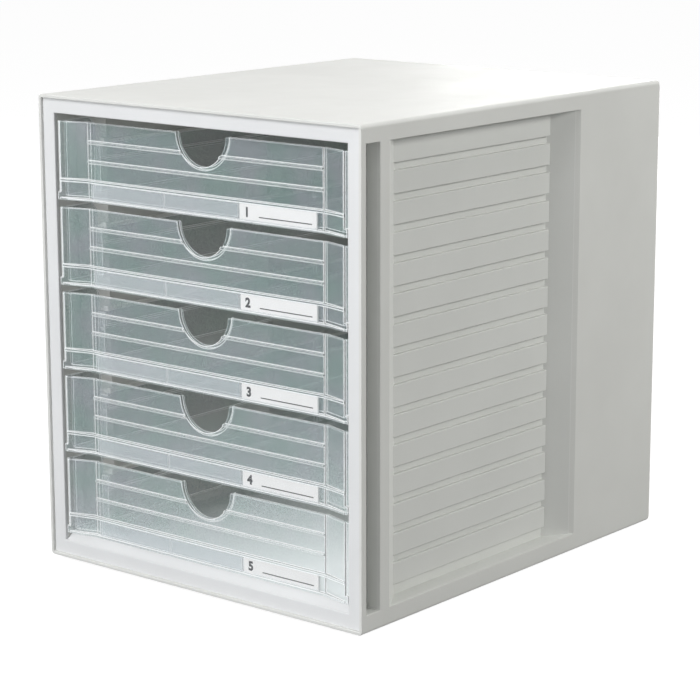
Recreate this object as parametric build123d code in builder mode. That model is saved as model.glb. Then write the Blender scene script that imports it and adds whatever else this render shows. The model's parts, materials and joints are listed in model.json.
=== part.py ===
from build123d import *
import os

# Desktop drawer unit: a light grey housing with five frosted drawers.
# X runs across, the front faces -Y, +Z is up, and the feet stand on Z = 0.

# Overall size of the housing
width = 275.0
depth = 330.0
body_height = 316.0
foot_height = 4.0

# Shell
shell_wall = 2.2
shell_corner = 2.6
rear_corner = 4.5
rim_round = 0.5
window_round = 0.4

# Front frame
frame_side = 12.3
frame_top = 12.0
frame_bottom = 11.8
frame_set_back = 2.0
frame_plate = 2.4
frame_edge_round = 0.3
opening_round = 0.8
sill_depth = 25.0
sill_wall = 2.0
sill_fit = 0.3
sill_run = 6.0
sill_play = 0.8
clip_wall = 2.0
clip_width = 16.0
clip_reach = 14.0
clip_pitch = 85.0

# Drawers
drawer_count = 5
row_gap = 4.95
sill_gap = 5.0
side_gap = 1.2
rear_gap = 0.8
tray_wall = 1.8
tray_floor = 1.8
floor_lift = 1.0
cheek_depth = 37.0
cheek_bevel = 5.0
pull_out = 215.0

# Drawer front
front_wall = 2.0
front_set_back = 8.7
wing_set_back = 3.0
wing_width = 23.0
wing_step = 1.0
wing_rim = 2.3
wing_rim_depth = 1.4
wing_corner_fill = 4.0
corner_lug_height = 5.5
front_edge_round = 0.6
label_band = 13.6
rib_height = 1.8
rib_proud = 1.3
rib_round = 0.5
lip_proud = 1.9
lip_wing_proud = 0.5
plain_strips = 3

# Thumb notch
notch_radius = 21.0
notch_collar = 2.0
notch_collar_depth = 1.8
notch_lip_round = 1.6

# Label holder and card
holder_inset = 4.4
holder_thickness = 1.6
holder_fit = 0.1
holder_rail = 0.35
holder_divider = 1.0
pocket_count = 3
pocket_depth = 0.5
card_thickness = 0.3
card_fit = 0.12

# Side guide panels, with the grip recess outside and the runners inside
guide_wall = 2.0
recess_depth = 13.0
recess_over = 0.4
recess_lift = 0.6
recess_front = 27.0
recess_rear = 230.6
recess_run = 20.9
slat_raise = 2.75
slat_gap = 4.85
slats_per_drawer = 3
slat_margin = 2.0
slat_round = 0.5
slot_front = 4.6
slot_rear = 18.0
runner_rise = 22.6
runner_room = 12.0
rail_wall = 1.8
rail_after_cheek = 2.0
side_play = 0.8
shelf_width = 3.5
cheek_over_tray = 1.0
run_gap = 0.3
lift_gap = 0.4

# Pull-out stop
tab_reach = 2.8
tab_length = 4.0
tab_height = 3.4
lug_length = 6.0
lug_hold = 5.0
stop_gap = 0.5

# Feet
foot_radius = 8.0
foot_inset = 28.0
foot_seat = 0.8
foot_fit = 0.2
foot_round = 1.0

# Levels and planes that follow from the sizes above
half_width = width / 2
front = -depth / 2
base = foot_height
top = base + body_height
mid_z = base + body_height / 2
back_inside = front + depth - shell_wall
shell_inside = half_width - shell_wall

opening_half = half_width - frame_side
opening_bottom = base + frame_bottom
opening_top = top - frame_top
opening_height = opening_top - opening_bottom
sill_top = opening_bottom + sill_gap - sill_play

front_height = (opening_height - sill_gap - drawer_count * row_gap) / drawer_count
drawer_pitch = front_height + row_gap
front_half = opening_half - side_gap
centre_half = front_half - wing_width
panel_y = front + front_set_back
tray_rear = back_inside - rear_gap
cheek_end = front + cheek_depth

# The slats share the drawers' pitch
slat_pitch = drawer_pitch / slats_per_drawer
slat_height = slat_pitch - slat_gap
slat_count = slats_per_drawer * drawer_count
groove_x = half_width - recess_depth
slat_face_x = groove_x + slat_raise
recess_top = opening_top + recess_over
recess_bottom = opening_bottom + recess_lift
recess_height = recess_top - recess_bottom

# A tray runs between the recesses' inner walls and is never wider than its front
panel_inside = groove_x - guide_wall
tray_half = min(panel_inside - side_play, front_half - cheek_over_tray)
tray_low_half = tray_half - shelf_width
runner_x = tray_low_half + side_play
tab_x = runner_x - tab_reach
rail_front = cheek_end + rail_after_cheek
lug_front = rail_front + tab_length + pull_out + stop_gap


def slat_top(k):
    return recess_top - slat_margin - k * slat_pitch


def slat_bottom(k):
    return slat_top(k) - slat_height


def tray_bottom(row):
    """Lower edge of a drawer front, rows counted from the top."""
    return opening_bottom + sill_gap + (drawer_count - 1 - row) * drawer_pitch


def runner_top(row):
    """Height of the runner under a drawer's shelf."""
    return tray_bottom(row) + runner_rise


def guide_bottom(row):
    """Height of the guide that keeps a pulled drawer from tipping."""
    return runner_top(row) + runner_room


def recess_front_y(x):
    """Depth of the recess's slanted front wall at a distance x from the middle."""
    return front + recess_front + (half_width - x) * recess_run / recess_depth


def recess_rear_y(x):
    return front + recess_rear - (half_width - x) * recess_run / recess_depth


def block(x0, x1, y0, y1, z0, z1, mode=Mode.ADD):
    """A block between two corners, added to or cut from the piece in hand."""
    with Locations(((x0 + x1) / 2, (y0 + y1) / 2, (z0 + z1) / 2)):
        Box(x1 - x0, y1 - y0, z1 - z0, mode=mode)


def save(builder, name):
    builder.part.label = name
    export_step(builder.part, "parts/" + name + ".step")


os.makedirs("parts", exist_ok=True)

outside = half_width + 1.0
recess_outline = [
    (outside, recess_front_y(outside)),
    (groove_x, recess_front_y(groove_x)),
    (groove_x, recess_rear_y(groove_x)),
    (outside, recess_rear_y(outside)),
]
slat_outline = [
    (slat_face_x, recess_front_y(slat_face_x)),
    (groove_x, recess_front_y(groove_x)),
    (groove_x, recess_rear_y(groove_x)),
    (slat_face_x, recess_rear_y(groove_x)),
]

# Housing shell: a box open at the front, with a slot and a grip window in each side
foot_x = half_width - foot_inset
foot_y = depth / 2 - foot_inset
with BuildPart() as housing_shell:
    with Locations((0, 0, mid_z)):
        Box(width, depth, body_height)
    fillet(housing_shell.faces().sort_by(Axis.Y)[-1].edges(), rear_corner)
    fillet(
        housing_shell.edges().filter_by(Axis.Y).filter_by(lambda e: e.length > depth / 2),
        shell_corner,
    )
    with BuildSketch(Plane.XZ.offset(-front)):
        with Locations((0, mid_z)):
            Rectangle(2 * shell_inside, body_height - 2 * shell_wall)
    extrude(amount=-(depth - shell_wall), mode=Mode.SUBTRACT)
    with BuildSketch(Plane.XY.offset(recess_bottom)):
        Polygon(*recess_outline, align=None)
        with Locations(((shell_inside + outside) / 2, front + (slot_front + slot_rear) / 2)):
            Rectangle(outside - shell_inside + 2.0, slot_rear - slot_front)
        mirror(about=Plane.YZ)
    extrude(amount=recess_height, mode=Mode.SUBTRACT)
    with BuildSketch(Plane.XY.offset(base)):
        with GridLocations(2 * foot_x, 2 * foot_y, 2, 2):
            Circle(foot_radius + foot_fit)
    extrude(amount=foot_seat, mode=Mode.SUBTRACT)
    rim = housing_shell.faces().sort_by(Axis.Y)[0]
    fillet(rim.edges(), rim_round)
    for end in (0, -1):
        outer_wall = housing_shell.faces().filter_by(Axis.X).sort_by(Axis.X)[end]
        window_edges = [e for window in outer_wall.inner_wires() for e in window.edges()]
        fillet(window_edges, window_round)
save(housing_shell, "housing_shell")

# Front frame: a plate set back in the shell's mouth, its clips, and a sill that slopes up under the drawers
plate_front = front + frame_set_back
plate_middle = plate_front + frame_plate / 2
with BuildPart() as front_frame:
    with BuildSketch(Plane.XZ.offset(-plate_front)):
        with Locations((0, mid_z)):
            Rectangle(2 * shell_inside, body_height - 2 * shell_wall)
        with Locations((0, (opening_bottom + opening_top) / 2)):
            Rectangle(2 * opening_half, opening_height, mode=Mode.SUBTRACT)
    extrude(amount=-frame_plate)
    for x in (-clip_pitch, 0, clip_pitch):
        for z0 in (base + shell_wall, top - shell_wall - clip_wall):
            block(
                x - clip_width / 2,
                x + clip_width / 2,
                plate_middle,
                front + clip_reach,
                z0,
                z0 + clip_wall,
            )
    with BuildSketch(Plane.YZ.offset(sill_fit - opening_half)):
        Polygon(
            (plate_middle, opening_bottom - sill_wall),
            (front + sill_depth, opening_bottom - sill_wall),
            (front + sill_depth, sill_top),
            (plate_middle + sill_run, sill_top),
            (plate_middle, opening_bottom),
            align=None,
        )
    extrude(amount=2 * (opening_half - sill_fit))
    mouth = front_frame.faces().sort_by(Axis.Y)[0]
    fillet(mouth.inner_wires()[0].edges(), opening_round)
    mouth = front_frame.faces().sort_by(Axis.Y)[0]
    fillet(mouth.outer_wire().edges(), frame_edge_round)
save(front_frame, "front_frame")

# Side guide panel, right: skin, slot pocket, grip recess with slats, runners and stops
with BuildPart() as guide_panel_right:
    block(
        shell_inside - guide_wall,
        shell_inside,
        front + slot_rear,
        back_inside,
        base + shell_wall,
        top - shell_wall,
    )
    with BuildSketch(Plane.XY.offset(recess_bottom - guide_wall)):
        Polygon(*recess_outline, align=None)
        offset(amount=guide_wall, kind=Kind.INTERSECTION)
    extrude(amount=recess_height + 2 * guide_wall)
    block(
        shell_inside,
        outside + 2 * guide_wall,
        front,
        front + depth,
        base,
        top,
        mode=Mode.SUBTRACT,
    )
    for row in range(drawer_count):
        for z0 in (runner_top(row) - rail_wall, guide_bottom(row)):
            block(runner_x, shell_inside, rail_front, back_inside, z0, z0 + rail_wall)
        block(
            tab_x,
            runner_x + rail_wall,
            rail_front,
            rail_front + tab_length,
            guide_bottom(row),
            guide_bottom(row) + tab_height,
        )
    block(
        opening_half,
        shell_inside,
        front + slot_front,
        front + slot_rear + guide_wall,
        recess_bottom - guide_wall,
        recess_top + guide_wall,
    )
    block(
        opening_half + guide_wall,
        shell_inside,
        front + slot_front,
        front + slot_rear,
        recess_bottom,
        recess_top,
        mode=Mode.SUBTRACT,
    )
    with BuildSketch(Plane.XY.offset(recess_bottom)):
        Polygon(*recess_outline, align=None)
    extrude(amount=recess_height, mode=Mode.SUBTRACT)
    for k in range(slat_count):
        with BuildSketch(Plane.XY.offset(slat_bottom(k))):
            Polygon(*slat_outline, align=None)
        extrude(amount=slat_height)
    slat_edges = guide_panel_right.edges().filter_by(Axis.Y)
    slat_edges = slat_edges.filter_by_position(Axis.X, slat_face_x - 0.01, slat_face_x + 0.01)
    fillet(slat_edges, slat_round)
save(guide_panel_right, "guide_panel_right")

with BuildPart() as guide_panel_left:
    mirror(guide_panel_right.part, about=Plane.YZ)
save(guide_panel_left, "guide_panel_left")

# Rubber feet, each seated in a shallow round seat under the shell
foot_places = {
    "foot_front_left": (-foot_x, -foot_y),
    "foot_front_right": (foot_x, -foot_y),
    "foot_rear_left": (-foot_x, foot_y),
    "foot_rear_right": (foot_x, foot_y),
}
for name, place in foot_places.items():
    with BuildPart() as foot:
        with BuildSketch(Plane.XY):
            with Locations(place):
                Circle(foot_radius)
        extrude(amount=foot_height + foot_seat)
        fillet(foot.faces().sort_by(Axis.Z)[0].edges(), foot_round)
    save(foot, name)

# Plan of a drawer front, right half: flat middle, slanted wing, rim and cheek
wing_x = front_half - wing_rim
wing_y = front + wing_set_back
wing_root_y = panel_y + wing_step
wing_slope = (wing_y - wing_root_y) / (wing_x - centre_half)
wing_inner_gap = front_wall * (1 + wing_slope**2) ** 0.5
rim_y = wing_y + wing_rim_depth
cheek_in = front_half - tray_wall
fill_x = cheek_in - wing_corner_fill
fill_y = wing_root_y + wing_slope * (fill_x - centre_half) + wing_inner_gap
front_outline = [
    (0, panel_y),
    (centre_half, panel_y),
    (centre_half, wing_root_y),
    (wing_x, wing_y),
    (wing_x, rim_y),
    (front_half, rim_y),
    (front_half, cheek_end),
    (cheek_in, cheek_end),
    (cheek_in, fill_y + front_wall),
    (fill_x, fill_y),
    (centre_half, wing_root_y + wing_inner_gap),
    (centre_half - wing_step, panel_y + front_wall),
    (0, panel_y + front_wall),
]
floor_outline = [
    (0, panel_y + front_wall / 2),
    (centre_half, wing_root_y + front_wall / 2),
    (wing_x, wing_y + front_wall),
    (front_half, rim_y + front_wall),
    (front_half, cheek_end),
    (0, cheek_end),
]


def lip_outline(proud, wing_proud):
    """Plan of a lip along the whole front, right half, standing proud of it."""
    return [
        (0, panel_y - proud),
        (centre_half, panel_y - proud),
        (wing_x, wing_y - wing_proud),
        (wing_x, wing_y + front_wall / 2),
        (centre_half, wing_root_y + front_wall / 2),
        (0, panel_y + front_wall / 2),
    ]


lip_plan = lip_outline(lip_proud, lip_wing_proud)
holder_half = centre_half - holder_inset
holder_bottom = rib_height + holder_fit
holder_top = label_band - rib_height / 2 - holder_fit
strip = (front_height - label_band) / plain_strips
pocket_pitch = 2 * holder_half / pocket_count
pocket_width = pocket_pitch - holder_divider

for row in range(drawer_count):
    number = str(row + 1)
    low = tray_bottom(row)
    high = low + front_height
    shelf = runner_top(row) + run_gap
    wall_top = guide_bottom(row) - lift_gap
    tray_section = [
        (0, low + floor_lift),
        (tray_low_half, low + floor_lift),
        (tray_low_half, shelf),
        (tray_half, shelf),
        (tray_half, wall_top),
        (tray_half - tray_wall, wall_top),
        (tray_half - tray_wall, shelf + tray_wall),
        (tray_low_half - tray_wall, shelf + tray_wall),
        (tray_low_half - tray_wall, low + floor_lift + tray_floor),
        (0, low + floor_lift + tray_floor),
    ]

    # Drawer: front, cheeks, stepped side walls, rear wall, lugs and thumb notch
    with BuildPart() as tray:
        with BuildSketch(Plane.XY.offset(low)):
            Polygon(*front_outline, align=None)
            mirror(about=Plane.YZ)
        extrude(amount=front_height)
        top_edge = tray.faces().sort_by(Axis.Z)[-1].edges()
        cheek_back = top_edge.filter_by(Axis.X).sort_by(Axis.Y)[-2:]
        chamfer(cheek_back, cheek_bevel)
        with BuildSketch(Plane.XY.offset(low + floor_lift)):
            Polygon(*floor_outline, align=None)
            mirror(about=Plane.YZ)
        extrude(amount=tray_floor)
        with BuildSketch(Plane.XZ.offset(-(cheek_end - tray_wall))):
            Polygon(*tray_section, align=None)
            mirror(about=Plane.YZ)
        extrude(amount=-(tray_rear - cheek_end + tray_wall))
        with BuildSketch(Plane.XZ.offset(-(tray_rear - tray_wall))):
            Polygon(*tray_section[:5], (0, wall_top), align=None)
            mirror(about=Plane.YZ)
        extrude(amount=-tray_wall)
        for side in (-1, 1):
            shoulder_mid = side * (front_half + tray_low_half - tray_wall) / 2
            shoulder_width = front_half - tray_low_half + tray_wall
            with Locations((shoulder_mid, cheek_end - tray_wall / 2, low + floor_lift)):
                Box(
                    shoulder_width,
                    tray_wall,
                    wall_top - low - floor_lift,
                    align=(Align.CENTER, Align.CENTER, Align.MIN),
                )
            lug_in = tab_x + stop_gap
            for lug_out, z0, z1 in (
                (tray_half - tray_wall, wall_top - lug_hold, wall_top),
                (runner_x - run_gap, wall_top - lug_hold, guide_bottom(row) + tab_height - lift_gap),
            ):
                with Locations((side * (lug_in + lug_out) / 2, lug_front + lug_length / 2, z0)):
                    Box(
                        lug_out - lug_in,
                        lug_length,
                        z1 - z0,
                        align=(Align.CENTER, Align.CENTER, Align.MIN),
                    )
            with Locations((side * (wing_x + front_half) / 2, wing_y, low)):
                Box(
                    wing_rim,
                    wing_rim_depth + tray_wall,
                    corner_lug_height,
                    align=(Align.CENTER, Align.MIN, Align.MIN),
                )
        for lip_z in (low, low + label_band - rib_height / 2):
            with BuildSketch(Plane.XY.offset(lip_z)):
                Polygon(*lip_plan, align=None)
                mirror(about=Plane.YZ)
            extrude(amount=rib_height)
        with BuildSketch(Plane.XZ.offset(-panel_y)):
            for n in range(1, plain_strips):
                with Locations((0, high - n * strip)):
                    SlotOverall(2 * centre_half, rib_height)
        extrude(amount=rib_proud)
        rib_faces = tray.faces().filter_by(Axis.Y)
        rib_y = panel_y - rib_proud
        rib_faces = rib_faces.filter_by_position(Axis.Y, rib_y - 0.01, rib_y + 0.01)
        fillet(rib_faces.edges(), rib_round)
        with BuildSketch(Plane.XZ.offset(-panel_y)):
            with Locations((0, high)):
                Circle(notch_radius + notch_collar)
            with Locations((0, high + notch_radius)):
                Rectangle(4 * notch_radius, 2 * notch_radius, mode=Mode.SUBTRACT)
        extrude(amount=-(front_wall + notch_collar_depth))
        with BuildSketch(Plane.XZ.offset(-panel_y + 2 * rib_proud)):
            with Locations((0, high)):
                Circle(notch_radius)
        extrude(amount=-(4 * rib_proud + front_wall + notch_collar_depth), mode=Mode.SUBTRACT)
        notch_corners = tray.edges().filter_by(Axis.Y)
        notch_corners = notch_corners.filter_by_position(Axis.Z, high - 0.01, high + 0.01)
        notch_corners = notch_corners.filter_by(lambda e: abs(abs(e.center().X) - notch_radius) < 0.1)
        fillet(notch_corners, notch_lip_round)
        top_front = tray.edges().filter_by_position(Axis.Z, high - 0.01, high + 0.01)
        top_front = top_front.filter_by(lambda e: e.center().Y < panel_y + 0.01)
        fillet(top_front, front_edge_round)
        low_front = tray.edges().filter_by_position(Axis.Z, low - 0.01, low + 0.01)
        low_front = low_front.filter_by(lambda e: e.center().Y < panel_y - 0.01)
        fillet(low_front, front_edge_round)
    save(tray, "tray_" + number)

    # Clear label holder, held between the two lips of the front's lowest band
    with BuildPart() as label_holder:
        with BuildSketch(Plane.XZ.offset(-panel_y)):
            with Locations((0, low + (holder_bottom + holder_top) / 2)):
                Rectangle(2 * holder_half, holder_top - holder_bottom)
        extrude(amount=holder_thickness)
        with BuildSketch(Plane.XZ.offset(-panel_y)):
            with Locations((0, low + (holder_bottom + holder_top) / 2)):
                with GridLocations(pocket_pitch, 1, pocket_count, 1):
                    Rectangle(pocket_width, holder_top - holder_bottom - 2 * holder_rail)
        extrude(amount=pocket_depth, mode=Mode.SUBTRACT)
    save(label_holder, "label_holder_" + number)

    # Paper card in the right pocket, lying on the drawer front
    with BuildPart() as label_card:
        with BuildSketch(Plane.XZ.offset(-panel_y)):
            with Locations((pocket_pitch, low + (holder_bottom + holder_top) / 2)):
                Rectangle(
                    pocket_width - 2 * card_fit,
                    holder_top - holder_bottom - 2 * (holder_rail + card_fit),
                )
        extrude(amount=card_thickness)
    save(label_card, "label_card_" + number)
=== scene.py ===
# %% [markdown]
# # A desktop drawer unit with five frosted drawers
# The real unit is moulded plastic: an opaque light grey housing, drawers of frosted see-through
# plastic, a clear strip on each front that holds paper cards, and four rubber feet.
# The CAD model brings every piece at its real size, so nothing is modelled again here. This
# lesson gives each plastic its own finish, prints the cards, and sets up light and camera.

# %% Load the frame
import json
import math

import bmesh
import bpy
from mathutils import Matrix, Vector


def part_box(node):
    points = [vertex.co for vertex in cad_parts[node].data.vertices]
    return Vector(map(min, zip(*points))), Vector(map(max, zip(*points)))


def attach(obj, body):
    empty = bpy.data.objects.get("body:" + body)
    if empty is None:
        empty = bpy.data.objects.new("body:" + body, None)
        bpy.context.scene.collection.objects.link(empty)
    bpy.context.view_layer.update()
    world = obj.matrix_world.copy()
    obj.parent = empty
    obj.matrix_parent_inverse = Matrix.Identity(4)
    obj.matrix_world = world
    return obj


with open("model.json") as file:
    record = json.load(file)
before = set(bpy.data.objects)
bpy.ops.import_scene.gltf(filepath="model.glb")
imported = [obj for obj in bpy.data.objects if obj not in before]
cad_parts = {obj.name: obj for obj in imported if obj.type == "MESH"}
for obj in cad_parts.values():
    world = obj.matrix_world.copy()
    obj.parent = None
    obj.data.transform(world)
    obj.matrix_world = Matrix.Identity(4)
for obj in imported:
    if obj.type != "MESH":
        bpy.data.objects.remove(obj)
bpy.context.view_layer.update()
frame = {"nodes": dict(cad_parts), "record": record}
MM = 0.001

# %% [markdown]
# ## Which piece has which finish
# A maker sorts the parts by the plastic they are moulded from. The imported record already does
# that with its material slots, so the nodes are grouped by slot instead of by a list of names.

# %% Group the nodes by slot
nodes_of_slot = {}
for part in frame["record"]["subparts"]:
    nodes_of_slot.setdefault(part["material_slot"], []).append(part["node"])
for slot, names in nodes_of_slot.items():
    print(f"{slot}: {len(names)} nodes")

# %% [markdown]
# ## Small helpers for shader nodes
# A material is a graph. Written out in full, each node costs four or five lines, and the idea
# gets lost. `add` makes one node, sets its options and fills its sockets, either with a plain
# number or with another node's output. The other helpers build on it: `maths` calculates,
# `mix_colour` blends two colours by a mask, `stretch` moves a value to another range, and
# `noise` gives a soft random pattern. The noise takes the object's own metres, so its patches
# have a real size on every piece and stay on the piece when a drawer moves.


# %% Node helpers
def add(tree, kind, sockets=None, **options):
    """One node: options are its settings, sockets its inputs by name or number."""
    node = tree.nodes.new(kind)
    for name, value in options.items():
        setattr(node, name, value)
    for name, value in (sockets or {}).items():
        if isinstance(value, bpy.types.NodeSocket):
            tree.links.new(value, node.inputs[name])
        else:
            node.inputs[name].default_value = value
    return node


def maths(tree, operation, *values):
    """One Math node on plain numbers or on other nodes' outputs."""
    return add(tree, "ShaderNodeMath", dict(enumerate(values)), operation=operation).outputs[0]


def mix_colour(tree, mask, first, second):
    """The first colour where the mask is 0, the second where it is 1."""
    factor, colour_a, colour_b, colour_result = 0, 6, 7, 2
    sockets = {factor: mask, colour_a: first, colour_b: second}
    return add(tree, "ShaderNodeMix", sockets, data_type="RGBA").outputs[colour_result]


def stretch(tree, value, low, high, to_low=0.0, to_high=1.0):
    """A value between low and high, stretched to another range and held inside it."""
    sockets = {"Value": value, "From Min": low, "From Max": high}
    sockets |= {"To Min": to_low, "To Max": to_high}
    return add(tree, "ShaderNodeMapRange", sockets).outputs["Result"]


def noise(tree, per_metre, detail, distortion=0.0):
    """A noise with so many patches per metre. Its values gather around a half."""
    where = add(tree, "ShaderNodeTexCoord").outputs["Object"]
    sockets = {"Vector": where, "Scale": per_metre, "Detail": detail, "Distortion": distortion}
    return add(tree, "ShaderNodeTexNoise", sockets).outputs["Fac"]


# %% [markdown]
# ## Effects that several finishes share
# Each shared effect is a node group with named inputs and outputs, built once. A group here
# gives back only a mask, a height or a colour that changes over the surface. The shader itself
# stays in the material, with its plain numbers on its own sockets.


# %% Start and place a node group
def start_group(name, inputs, outputs):
    """An empty shader group: its inputs as names with start values, its outputs as names."""
    group = bpy.data.node_groups.new(name, "ShaderNodeTree")
    for label, value in inputs.items():
        kind = "NodeSocketColor" if isinstance(value, tuple) else "NodeSocketFloat"
        socket = group.interface.new_socket(label, in_out="INPUT", socket_type=kind)
        socket.default_value = value
    for label in outputs:
        kind = "NodeSocketColor" if label == "Color" else "NodeSocketFloat"
        group.interface.new_socket(label, in_out="OUTPUT", socket_type=kind)
    given = group.nodes.new("NodeGroupInput").outputs
    return group, given, group.nodes.new("NodeGroupOutput").inputs


def place(tree, group, **values):
    """A node group put into a material, with its own values. Underscores stand for spaces."""
    sockets = {name.replace("_", " ").capitalize(): value for name, value in values.items()}
    return add(tree, "ShaderNodeGroup", sockets, node_tree=group).outputs


# %% [markdown]
# **Moulded grain.** A mould is spark-eroded or blasted, and the plastic copies that fine grain.
# Two noises make it: one at the grain's size, and a coarser one that lets it come and go.

# %% Group: moulded grain
COARSE_SHARE = 0.22
NOISE_SPAN = (0.3, 0.7)

grain_group, given, result = start_group(
    "moulded grain", {"Grain size": 0.5 * MM}, ["Height", "Speckle"]
)
per_metre = maths(grain_group, "DIVIDE", 1.0, given["Grain size"])
fine = noise(grain_group, per_metre, detail=2.0)
coarse = noise(grain_group, maths(grain_group, "MULTIPLY", per_metre, COARSE_SHARE), detail=1.0)
grain_group.links.new(maths(grain_group, "MULTIPLY", fine, coarse), result["Height"])
grain_group.links.new(stretch(grain_group, fine, *NOISE_SPAN), result["Speckle"])
print("moulded grain:", len(grain_group.nodes), "nodes")

# %% [markdown]
# **Colour drift.** Moulded plastic isn't one even colour: the melt flows, cools and ages a
# little differently from place to place. A slow noise moves the colour between two near tones.

# %% Group: colour drift
DRIFT_SPAN = (0.35, 0.65)
MID_GREY = (0.5, 0.5, 0.5, 1)

drift_group, given, result = start_group(
    "colour drift",
    {"Patch size": 60 * MM, "First tone": MID_GREY, "Second tone": MID_GREY},
    ["Color"],
)
slow = noise(drift_group, maths(drift_group, "DIVIDE", 1.0, given["Patch size"]), detail=3.0)
blend = stretch(drift_group, slow, *DRIFT_SPAN)
tone = mix_colour(drift_group, blend, given["First tone"], given["Second tone"])
drift_group.links.new(tone, result["Color"])
print("colour drift:", len(drift_group.nodes), "nodes")

# %% [markdown]
# ** Edge line.** Handling polishes an edge, so a used moulding is a little paler there. The
# finishes also paint a highlight along their edges, most of all in frosted and clear plastic,
# where the edge gathers light. The Bevel node rounds the normal near an edge. Where that rounded
# normal leaves the real one, there is an edge, so the mask comes from their dot product: 0 where
# the two nearly agree, and 1 where they differ clearly.

# %% Group: edge line
NEARLY_AGREE = 0.997
CLEARLY_DIFFER = 0.92

edge_group, given, result = start_group("edge line", {"Edge width": 0.8 * MM}, ["Mask"])
rounded = add(edge_group, "ShaderNodeBevel", {"Radius": given["Edge width"]}, samples=8)
normals = {
    0: rounded.outputs["Normal"],
    1: add(edge_group, "ShaderNodeNewGeometry").outputs["Normal"],
}
agree = add(edge_group, "ShaderNodeVectorMath", normals, operation="DOT_PRODUCT")
edge = stretch(edge_group, agree.outputs["Value"], NEARLY_AGREE, CLEARLY_DIFFER)
edge_group.links.new(edge, result["Mask"])
print("edge line:", len(edge_group.nodes), "nodes")

# %% [markdown]
# **Handling marks.** Fingers and wiping leave soft patches that shine a little more or less than
# the rest. They change only the roughness, so they show in a highlight and nowhere else.

# %% Group: handling marks
marks_group, given, result = start_group(
    "handling marks", {"Lowest": 0.4, "Highest": 0.5, "Mark size": 35 * MM}, ["Roughness"]
)
per_metre = maths(marks_group, "DIVIDE", 1.0, given["Mark size"])
patches = noise(marks_group, per_metre, detail=4.0, distortion=0.8)
roughness = stretch(marks_group, patches, *NOISE_SPAN, given["Lowest"], given["Highest"])
marks_group.links.new(roughness, result["Roughness"])
print("handling marks:", len(marks_group.nodes), "nodes")


# %% [markdown]
# ## The finishes
# Every finish starts the same way: an empty tree with a Principled shader wired to the output.
# Numbers that are the same all over go straight into the shader's own sockets, and `feed` wires
# in what changes over the surface.


# %% Start a material
def start_material(name, **plain):
    """A new material with a Principled shader. plain holds sockets that are even all over."""
    material = bpy.data.materials.new(name)
    material.use_nodes = True
    tree = material.node_tree
    tree.nodes.clear()
    sockets = {label.replace("_", " "): value for label, value in plain.items()}
    shader = add(tree, "ShaderNodeBsdfPrincipled", sockets)
    add(tree, "ShaderNodeOutputMaterial", {"Surface": shader.outputs["BSDF"]})
    return material, tree, shader


def feed(tree, shader, **sources):
    """Wires outputs into the shader's sockets. Underscores stand for spaces."""
    for name, source in sources.items():
        tree.links.new(source, shader.inputs[name.replace("_", " ")])


def bump(tree, height, depth):
    """A Bump node for a height that goes from 0 to 1 over a real depth."""
    return add(tree, "ShaderNodeBump", {"Height": height, "Distance": depth}).outputs["Normal"]


# %% [markdown]
# ** Opaque grey plastic** makes the housing, its front frame and the side panels. The three come
# from three moulds, so each gets its own two tones and grain. The edges are a little paler,
# partly as they are on a used moulding and partly as a painted highlight along them, and the
# grain carries a trace of dark specks.

# %% Finish: opaque grey plastic
# Edge tone: partly wear, partly a painted highlight along the edges.
WEAR_AND_HIGHLIGHT_EDGE = (0.86, 0.865, 0.855, 1)
WEAR_AND_HIGHLIGHT_SHARE = 0.35
DARK_SPECK = (0.35, 0.36, 0.35, 1)
DARK_SHARE = 0.05


def opaque_plastic(name, first_tone, second_tone, grain_size, grain_depth):
    material, tree, shader = start_material(name, IOR=1.49)
    drift = place(
        tree, drift_group, patch_size=70 * MM, first_tone=first_tone, second_tone=second_tone
    )
    edge = place(tree, edge_group, edge_width=0.7 * MM)["Mask"]
    # Paler edges: wear mixed with a painted highlight.
    wear_and_highlight = mix_colour(tree, maths(tree, "MULTIPLY", edge, WEAR_AND_HIGHLIGHT_SHARE), drift["Color"], WEAR_AND_HIGHLIGHT_EDGE)
    grain = place(tree, grain_group, grain_size=grain_size)
    specks = stretch(tree, grain["Speckle"], 0, 1, 0.0, DARK_SHARE)
    feed(
        tree,
        shader,
        Base_Color=mix_colour(tree, specks, wear_and_highlight, DARK_SPECK),
        Roughness=place(tree, marks_group, lowest=0.44, highest=0.56)["Roughness"],
        Normal=bump(tree, grain["Height"], grain_depth),
    )
    return material


shell_finish = opaque_plastic(
    "housing plastic", (0.70, 0.705, 0.68, 1), (0.735, 0.74, 0.715, 1), 0.6 * MM, 0.03 * MM
)
frame_finish = opaque_plastic(
    "frame plastic", (0.75, 0.76, 0.765, 1), (0.78, 0.79, 0.795, 1), 0.45 * MM, 0.015 * MM
)
panel_finish = opaque_plastic(
    "panel plastic", (0.69, 0.70, 0.675, 1), (0.72, 0.73, 0.705, 1), 0.6 * MM, 0.03 * MM
)
print("opaque finishes:", shell_finish.name, frame_finish.name, panel_finish.name)

# %% [markdown]
# ** Frosted drawer plastic** lets light through, and what lies behind it shows as a dim shape.
# The face is a thin, speckled grey-green film: a low alpha for the camera's rays. The rays that
# carry light meet a still thinner and much paler film, because a path tracer would otherwise
# lose in five stacked drawers the light that the real plastic passes on, and the inside would
# turn dark. The outside is glossy, so a coat lies over it. The edge line paints every rib, lip
# and rim pale and dense: a painted highlight for the light that runs inside a wall and leaves at
# its edges.

# %% Densities and tones of the frosted film
CLEAR_DENSITY = 0.14
SPECK_DENSITY = 0.36
# The denser, paler film near the base is painted light.
PAINTED_LIGHT_DENSITY = 0.52
LIT_DENSITY = 0.06
# Density of the painted edge highlight.
EDGE_HIGHLIGHT_DENSITY = 1.0
GREEN_TONE = (0.23, 0.38, 0.355, 1)
BLUE_TONE = (0.355, 0.395, 0.45, 1)
SPECK_TONE = (0.66, 0.78, 0.78, 1)
SPECK_SHARE = 0.35
# Tone of the painted light near the base.
PAINTED_LIGHT_TONE = (0.88, 0.95, 0.95, 1)
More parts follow.
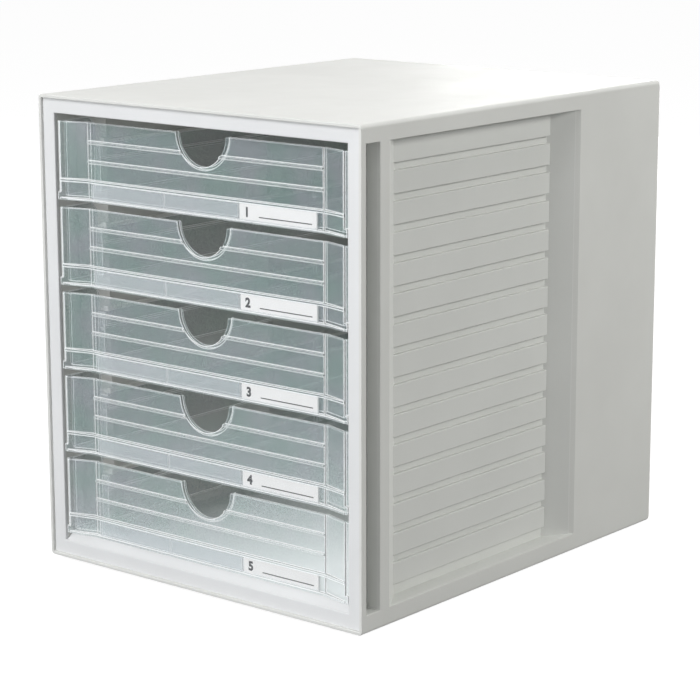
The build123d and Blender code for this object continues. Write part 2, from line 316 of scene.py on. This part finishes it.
# Colour of the painted edge highlight.
PAINTED_EDGE_HIGHLIGHT = (0.97, 0.99, 0.995, 1)
PALE_FILM = (0.90, 0.93, 0.925, 1)
print(f"a frosted face hides {CLEAR_DENSITY:.0%} to {SPECK_DENSITY:.0%} of what is behind it")

# %% [markdown]
# Near the housing's white base the real drawers look pale, most of all at the lower right,
# because light from the base comes through them. That light is painted into the film: it grows
# paler and denser from the top drawer down to there. The mask for that comes from the height
# above the table, less a share of the way to the right.

# %% The painted light near the base
# Where the painted light near the base reaches, and how fast it rises.
PAINTED_LIGHT_LEAN = 0.3
PAINTED_LIGHT_REACH = (310 * MM, 10 * MM)
PAINTED_LIGHT_CURVE = 6.0


def milkiness(tree):
    """Mask of the painted light: 0 at the top of the unit, rising fast to 1 near its base, and a
    little sooner right.
    """
    where = add(tree, "ShaderNodeTexCoord").outputs["Object"]
    axes = add(tree, "ShaderNodeSeparateXYZ", {"Vector": where}).outputs
    lean = maths(tree, "MULTIPLY_ADD", axes["X"], -PAINTED_LIGHT_LEAN, axes["Z"])
    return maths(tree, "POWER", stretch(tree, lean, *PAINTED_LIGHT_REACH), PAINTED_LIGHT_CURVE)


print("milky from", PAINTED_LIGHT_REACH[0] / MM, "mm down to", PAINTED_LIGHT_REACH[1] / MM, "mm")


# %% Finish: frosted drawer plastic
def frosted_plastic(name):
    material, tree, shader = start_material(name, IOR=1.5, Coat_Weight=0.6, Coat_Roughness=0.12)
    drift = place(
        tree, drift_group, patch_size=26 * MM, first_tone=GREEN_TONE, second_tone=BLUE_TONE
    )
    grain = place(tree, grain_group, grain_size=1.1 * MM)
    specks = stretch(tree, grain["Speckle"], 0, 1, 0.0, SPECK_SHARE)
    frost = mix_colour(tree, specks, drift["Color"], SPECK_TONE)
    # Painted light: the film turns paler and denser towards the base and the right.
    base_light = milkiness(tree)
    # Edge mask: a painted highlight, pale and dense on every rib, lip and rim.
    edge = place(tree, edge_group, edge_width=1.5 * MM)["Mask"]
    looking = add(tree, "ShaderNodeLightPath").outputs["Is Camera Ray"]
    face_tone = mix_colour(tree, base_light, frost, PAINTED_LIGHT_TONE)
    seen_tone = mix_colour(tree, edge, face_tone, PAINTED_EDGE_HIGHLIGHT)
    grain_density = stretch(tree, grain["Speckle"], 0, 1, CLEAR_DENSITY, SPECK_DENSITY)
    face_density = stretch(tree, base_light, 0, 1, grain_density, PAINTED_LIGHT_DENSITY)
    seen_density = stretch(tree, edge, 0, 1, face_density, EDGE_HIGHLIGHT_DENSITY)
    feed(
        tree,
        shader,
        Base_Color=mix_colour(tree, looking, PALE_FILM, seen_tone),
        Roughness=place(tree, marks_group, lowest=0.38, highest=0.50)["Roughness"],
        Normal=bump(tree, grain["Height"], 0.03 * MM),
        Alpha=stretch(tree, looking, 0, 1, LIT_DENSITY, seen_density),
    )
    return material


drawer_finish = frosted_plastic("frosted drawer plastic")
print("frosted finish:", drawer_finish.name)

# %% [markdown]
# ** Clear strip.** The label holder is clear, smooth and nearly colourless, with three pockets. An
# empty pocket looks hazy, because light is lost and reflected at its two inner faces; that haze
# is a painted reflection. The right pocket is clearer: its card lies against the strip and fills
# it.
# So the strip has a low alpha in front of the card and a higher, pale one beside it. Its gloss
# comes from a low roughness that fine scratches break up, and its edges carry a painted
# highlight.

# %% Finish: clear strip
# The pale film beside the card is a painted reflection of the empty pocket's inner faces.
POCKET_PAINTED_REFLECTION = 0.22
CARD_HAZE = 0.05
# Density of the painted highlight on the strip's edges.
STRIP_HIGHLIGHT_DENSITY = 0.95
HAZE_BORDER = 0.5 * MM
STRIP_FACE = (0.86, 0.92, 0.96, 1)
# Colour of the painted highlight on the strip's edges.
STRIP_EDGE_HIGHLIGHT = (0.97, 0.99, 1.0, 1)
card_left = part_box("label_card_1")[0].x


def clear_plastic(name):
    material, tree, shader = start_material(name, IOR=1.49)
    edge = place(tree, edge_group, edge_width=0.5 * MM)["Mask"]
    grain = place(tree, grain_group, grain_size=0.9 * MM)
    marks = place(tree, marks_group, lowest=0.08, highest=0.18, mark_size=12 * MM)
    where = add(tree, "ShaderNodeTexCoord").outputs["Object"]
    across = add(tree, "ShaderNodeSeparateXYZ", {"Vector": where}).outputs["X"]
    # Denser and pale beside the card: a painted reflection; in front of the card only a thin
    # haze.
    haze_and_reflection = stretch(tree, across, card_left - HAZE_BORDER, card_left, POCKET_PAINTED_REFLECTION, CARD_HAZE)
    # The pale, nearly opaque edges are a painted highlight.
    feed(
        tree,
        shader,
        Base_Color=mix_colour(tree, edge, STRIP_FACE, STRIP_EDGE_HIGHLIGHT),
        Roughness=marks["Roughness"],
        Normal=bump(tree, grain["Height"], 0.01 * MM),
        Alpha=stretch(tree, edge, 0, 1, haze_and_reflection, STRIP_HIGHLIGHT_DENSITY),
    )
    return material


holder_finish = clear_plastic("clear strip plastic")
print("clear finish:", holder_finish.name, f"with the card from x = {card_left / MM:.1f} mm")

# %% [markdown]
# **Paper card.** Paper is matt and almost white, with fine fibres. A very small grain gives the
# fibres, both in colour and in height.

# %% Finish: paper card
FIBRE_TONE = (0.7, 0.7, 0.68, 1)
FIBRE_SHARE = 0.06


def paper(name):
    material, tree, shader = start_material(name, IOR=1.45, Roughness=0.85)
    tones = {"first_tone": (0.88, 0.88, 0.87, 1), "second_tone": (0.91, 0.91, 0.905, 1)}
    drift = place(tree, drift_group, patch_size=15 * MM, **tones)
    fibres = place(tree, grain_group, grain_size=0.35 * MM)
    specks = stretch(tree, fibres["Speckle"], 0, 1, 0.0, FIBRE_SHARE)
    feed(
        tree,
        shader,
        Base_Color=mix_colour(tree, specks, drift["Color"], FIBRE_TONE),
        Normal=bump(tree, fibres["Height"], 0.02 * MM),
    )
    return material


card_finish = paper("white card")
print("paper finish:", card_finish.name)

# %% [markdown]
# **Foot rubber** is dark, matt and grainy, with grey dust along its rim.

# %% Finish: foot rubber
DUST_TONE = (0.10, 0.10, 0.10, 1)
DUST_SHARE = 0.5


def rubber(name):
    material, tree, shader = start_material(name, IOR=1.5)
    tones = {"first_tone": (0.020, 0.020, 0.021, 1), "second_tone": (0.035, 0.035, 0.036, 1)}
    drift = place(tree, drift_group, patch_size=8 * MM, **tones)
    edge = place(tree, edge_group, edge_width=0.6 * MM)["Mask"]
    dust = maths(tree, "MULTIPLY", edge, DUST_SHARE)
    grain = place(tree, grain_group, grain_size=0.5 * MM)
    marks = place(tree, marks_group, lowest=0.70, highest=0.85, mark_size=5 * MM)
    feed(
        tree,
        shader,
        Base_Color=mix_colour(tree, dust, drift["Color"], DUST_TONE),
        Roughness=marks["Roughness"],
        Normal=bump(tree, grain["Height"], 0.08 * MM),
    )
    return material


foot_finish = rubber("foot rubber")
print("rubber finish:", foot_finish.name)

# %% [markdown]
# ## Dress the CAD pieces
# A CAD node keeps its shape and place, and only its material slots are filled.

# %% Give each node its finish
finish_of_slot = {
    "housing_plastic": shell_finish,
    "frame_plastic": frame_finish,
    "guide_plastic": panel_finish,
    "foot_rubber": foot_finish,
    "drawer_plastic": drawer_finish,
    "clear_plastic": holder_finish,
    "label_paper": card_finish,
}
for slot, names in nodes_of_slot.items():
    for name in names:
        materials = frame["nodes"][name].data.materials
        materials.clear()
        materials.append(finish_of_slot[slot])
print("dressed", sum(len(names) for names in nodes_of_slot.values()), "nodes")

# %% [markdown]
# ## Print on the cards
# Each card carries a plain drawer number and a line to write on. The ink is nearly black and a
# little uneven.

# %% Finish: printing ink
ink_finish, tree, shader = start_material("printing ink", IOR=1.5, Roughness=0.6)
tones = {"first_tone": (0.012, 0.012, 0.014, 1), "second_tone": (0.03, 0.03, 0.034, 1)}
feed(tree, shader, Base_Color=place(tree, drift_group, patch_size=3 * MM, **tones)["Color"])
print("ink finish:", ink_finish.name)

# %% [markdown]
# **The number** is a text object turned into a mesh and stood up against the card. A text object
# lies flat with its front up, so a quarter turn about X makes it face the reader. **The line** is
# a thin box, made from its eight corners. The print is as thick as ink needs to be to show, and
# it fills part of the small gap that the holder leaves in front of the card. A digit fills only
# a share of the font's size, so the size is worked out from the height that is wanted.

# %% Sizes of the print
PRINT_HEIGHT = 6.0 * MM
PRINT_DEPTH = 0.04 * MM
PRINT_MARGIN = 4.0 * MM
PRINT_SPREAD = 0.4 * MM
LINE_HEIGHT = 0.7 * MM
DIGIT_SHARE = 0.73
FONT_SIZE = PRINT_HEIGHT / DIGIT_SHARE
print(f"digits {PRINT_HEIGHT / MM} mm high, from a font size of {FONT_SIZE / MM:.1f} mm")


# %% The number as a mesh
def number_mesh(number, left, front, base_line):
    """A drawer number that stands on base_line, with its back on the plane y = front."""
    text = bpy.data.curves.new(f"digit_{number}", "FONT")
    text.body = str(number)
    text.size = FONT_SIZE
    text.offset = PRINT_SPREAD
    text.extrude = PRINT_DEPTH / 2
    digit = bpy.data.objects.new(f"digit_{number}", text)
    mesh = bpy.data.meshes.new_from_object(digit)
    bpy.data.objects.remove(digit)
    stand_up = Matrix.Rotation(math.radians(90), 4, "X")
    mesh.transform(Matrix.Translation((left, front - PRINT_DEPTH / 2, base_line)) @ stand_up)
    return mesh


# %% The writing line as a mesh
def line_mesh(number, left, right, front, base_line):
    """A thin box from left to right, with its back on the plane y = front."""
    top = base_line + LINE_HEIGHT
    outline = ((left, base_line), (right, base_line), (right, top), (left, top))
    points = [(x, y, z) for y in (front, front - PRINT_DEPTH) for x, z in outline]
    sides = [(i, (i + 1) % 4, 4 + (i + 1) % 4, 4 + i) for i in range(4)]
    mesh = bpy.data.meshes.new(f"line_{number}")
    mesh.from_pydata(points, [], [(0, 3, 2, 1), (4, 5, 6, 7), *sides])
    return mesh


# %% [markdown]
# Number and line become one mesh with one ink, so each card has one print. It rides on the body
# of its drawer, and so it moves when the drawer is pulled.


# %% Print all the cards
def card_print(number):
    """The number and the writing line on one card, as one piece that rides on its drawer."""
    low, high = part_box(f"label_card_{number}")
    base_line = (low.z + high.z) / 2 - PRINT_HEIGHT / 2
    line_ends = low.x + 4 * PRINT_MARGIN, high.x - PRINT_MARGIN
    joined = bmesh.new()
    joined.from_mesh(number_mesh(number, low.x + PRINT_MARGIN, low.y, base_line))
    joined.from_mesh(line_mesh(number, *line_ends, low.y, base_line))
    bmesh.ops.recalc_face_normals(joined, faces=joined.faces)
    mesh = bpy.data.meshes.new(f"card_print_{number}")
    joined.to_mesh(mesh)
    joined.free()
    mesh.materials.append(ink_finish)
    piece = bpy.data.objects.new(f"card_print_{number}", mesh)
    bpy.context.scene.collection.objects.link(piece)
    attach(piece, f"drawer_{number}")
    return piece


prints = [card_print(n + 1) for n in range(len(nodes_of_slot["label_paper"]))]
print("printed", len(prints), "cards")

# %% [markdown]
# ## Floor and surroundings
# The unit stands on a pale studio table that runs on into white. The camera, and every ray that
# bounces off gloss or passes through plastic, sees the floor and the world as white. For the soft
# light that bounces between surfaces, the floor is a mid grey, so that the housing's sides keep
# their shading. The floor's plain part still takes the unit's shadow.


# %% White for the rays that look, plain for the rays that light
def looking_rays(tree):
    """1 for camera, glossy and transmission rays, and 0 for the rest."""
    path = add(tree, "ShaderNodeLightPath").outputs
    seen = maths(tree, "MAXIMUM", path["Is Camera Ray"], path["Is Glossy Ray"])
    return maths(tree, "MAXIMUM", seen, path["Is Transmission Ray"])


# %% The floor
FLOOR_REACH = 12.0
FLOOR_TONE = (0.18, 0.18, 0.18, 1)
FLOOR_GLOW = 0.97

floor_mesh = bpy.data.meshes.new("studio_floor")
corners = [(FLOOR_REACH * x, FLOOR_REACH * y, 0) for x, y in ((-1, -1), (1, -1), (1, 1), (-1, 1))]
floor_mesh.from_pydata(corners, [], [(0, 1, 2, 3)])
floor = bpy.data.objects.new("studio_floor", floor_mesh)
bpy.context.scene.collection.objects.link(floor)

floor_finish = bpy.data.materials.new("studio floor")
floor_finish.use_nodes = True
tree = floor_finish.node_tree
tree.nodes.clear()
plain = add(tree, "ShaderNodeBsdfDiffuse", {"Color": FLOOR_TONE})
glow_strength = maths(tree, "MULTIPLY", looking_rays(tree), FLOOR_GLOW)
glow = add(tree, "ShaderNodeEmission", {"Strength": glow_strength})
floor_shader = add(tree, "ShaderNodeAddShader", {0: plain.outputs[0], 1: glow.outputs[0]})
add(tree, "ShaderNodeOutputMaterial", {"Surface": floor_shader.outputs[0]})
floor_mesh.materials.append(floor_finish)
print("floor:", FLOOR_REACH * 2, "m across")

# %% The world
WORLD_LIGHT = 0.03

world = bpy.data.worlds.new("studio")
bpy.context.scene.world = world
world.use_nodes = True
tree = world.node_tree
tree.nodes.clear()
sky_strength = stretch(tree, looking_rays(tree), 0, 1, WORLD_LIGHT, 1.0)
sky = add(tree, "ShaderNodeBackground", {"Color": (1, 1, 1, 1), "Strength": sky_strength})
add(tree, "ShaderNodeOutputWorld", {"Surface": sky.outputs[0]})
print("world light:", WORLD_LIGHT)

# %% [markdown]
# ## Lamps
# The photograph shows a bright front and top, a softer right side, and the slanted rear wall of
# the grip recess darker than the side itself, while its front wall is brighter. So the side's
# light comes from behind on the right. The front has two high soft lights, which light the ledge
# under the drawers and draw the rim's thin shadow, a low one ahead, which reaches deep into the
# drawers, and a weak one on the right, which opens the shadows inside them. A low light behind
# the unit shows its back from other sides, and the photograph's view doesn't see it.

# %% One soft box
UNIT_MIDDLE = Vector((0.0, 0.0, 0.16))


def softbox(name, place_at, side, watts, colour):
    """A square area lamp that looks at the middle of the unit and isn't seen itself."""
    lamp = bpy.data.lights.new(name, "AREA")
    lamp.shape = "RECTANGLE"
    lamp.size = lamp.size_y = side
    lamp.energy = watts
    lamp.color = colour
    body = bpy.data.objects.new(name, lamp)
    body.location = place_at
    aim = UNIT_MIDDLE - Vector(place_at)
    body.rotation_euler = aim.to_track_quat("-Z", "Y").to_euler()
    body.visible_camera = False
    bpy.context.scene.collection.objects.link(body)


# %% The soft boxes: place, side in metres, watts and colour
COOL, WARM = (0.985, 0.99, 1.0), (1.0, 1.0, 0.97)
ROSY, IVORY = (1.0, 0.985, 0.98), (1.0, 1.0, 0.985)
soft_boxes = {
    "high_left_softbox": ((-0.9, -1.6, 1.6), 1.1, 9.0, COOL),
    "high_front_softbox": ((-0.1, -1.7, 1.7), 1.1, 23.5, COOL),
    "front_softbox": ((-0.3, -2.3, 0.35), 1.0, 19.0, COOL),
    "right_softbox": ((1.3, -2.0, 0.6), 1.2, 7.0, COOL),
    "far_side_softbox": ((2.2, 1.3, 1.3), 0.8, 24.0, WARM),
    "side_softbox": ((1.50, 0.85, 0.75), 0.8, 6.5, WARM),
    "top_softbox": ((0.1, 0.0, 1.7), 1.2, 8.0, ROSY),
    "back_softbox": ((-0.9, 2.1, 0.35), 1.0, 22.0, IVORY),
}
for name, (place_at, side, watts, colour) in soft_boxes.items():
    softbox(name, place_at, side, watts, colour)
print(len(soft_boxes), "soft boxes,", sum(box[2] for box in soft_boxes.values()), "W in all")

# %% [markdown]
# **How many see-through walls a ray may cross.** The renderer stops a ray at its eighth clear
# surface. Each drawer wall has two, so the light would end after four walls and the inside would
# turn dark. The limit goes up to the number of surfaces in the whole stack of drawers.

# %% Let the light through all the drawers
CLEAR_SURFACES = 48
bpy.context.scene.cycles.transparent_max_bounces = CLEAR_SURFACES
print("clear surfaces on one ray:", CLEAR_SURFACES)

# %% [markdown]
# ## Camera
# The place, direction and lens come from fitting the photograph's seven visible corners of the
# housing. The lens is long, so the upright edges stay nearly upright. The camera looks along its
# own -Z, so its axes are set up from the direction that points back at it.

# %% Camera at the photograph's view
CAMERA_PLACE = Vector((1.0172, -1.2441, 0.4883))
AZIMUTH, ELEVATION, ROLL = (math.radians(a) for a in (39.47, 12.30, -0.12))
LENS = 122.2

level = math.cos(ELEVATION)
back = Vector((math.sin(AZIMUTH) * level, -math.cos(AZIMUTH) * level, math.sin(ELEVATION)))
level_right = Vector((math.cos(AZIMUTH), math.sin(AZIMUTH), 0.0))
level_up = back.cross(level_right)
right = level_right * math.cos(ROLL) + level_up * math.sin(ROLL)
up = back.cross(right)
turn = Matrix((right, up, back)).transposed().to_4x4()

camera_data = bpy.data.cameras.new("camera")
camera_data.lens = LENS
camera_data.clip_end = 50.0
camera = bpy.data.objects.new("camera", camera_data)
camera.matrix_world = Matrix.Translation(CAMERA_PLACE) @ turn
bpy.context.scene.collection.objects.link(camera)
bpy.context.scene.camera = camera
bpy.context.scene.view_settings.view_transform = "Standard"
print("camera at", tuple(round(v, 3) for v in CAMERA_PLACE))
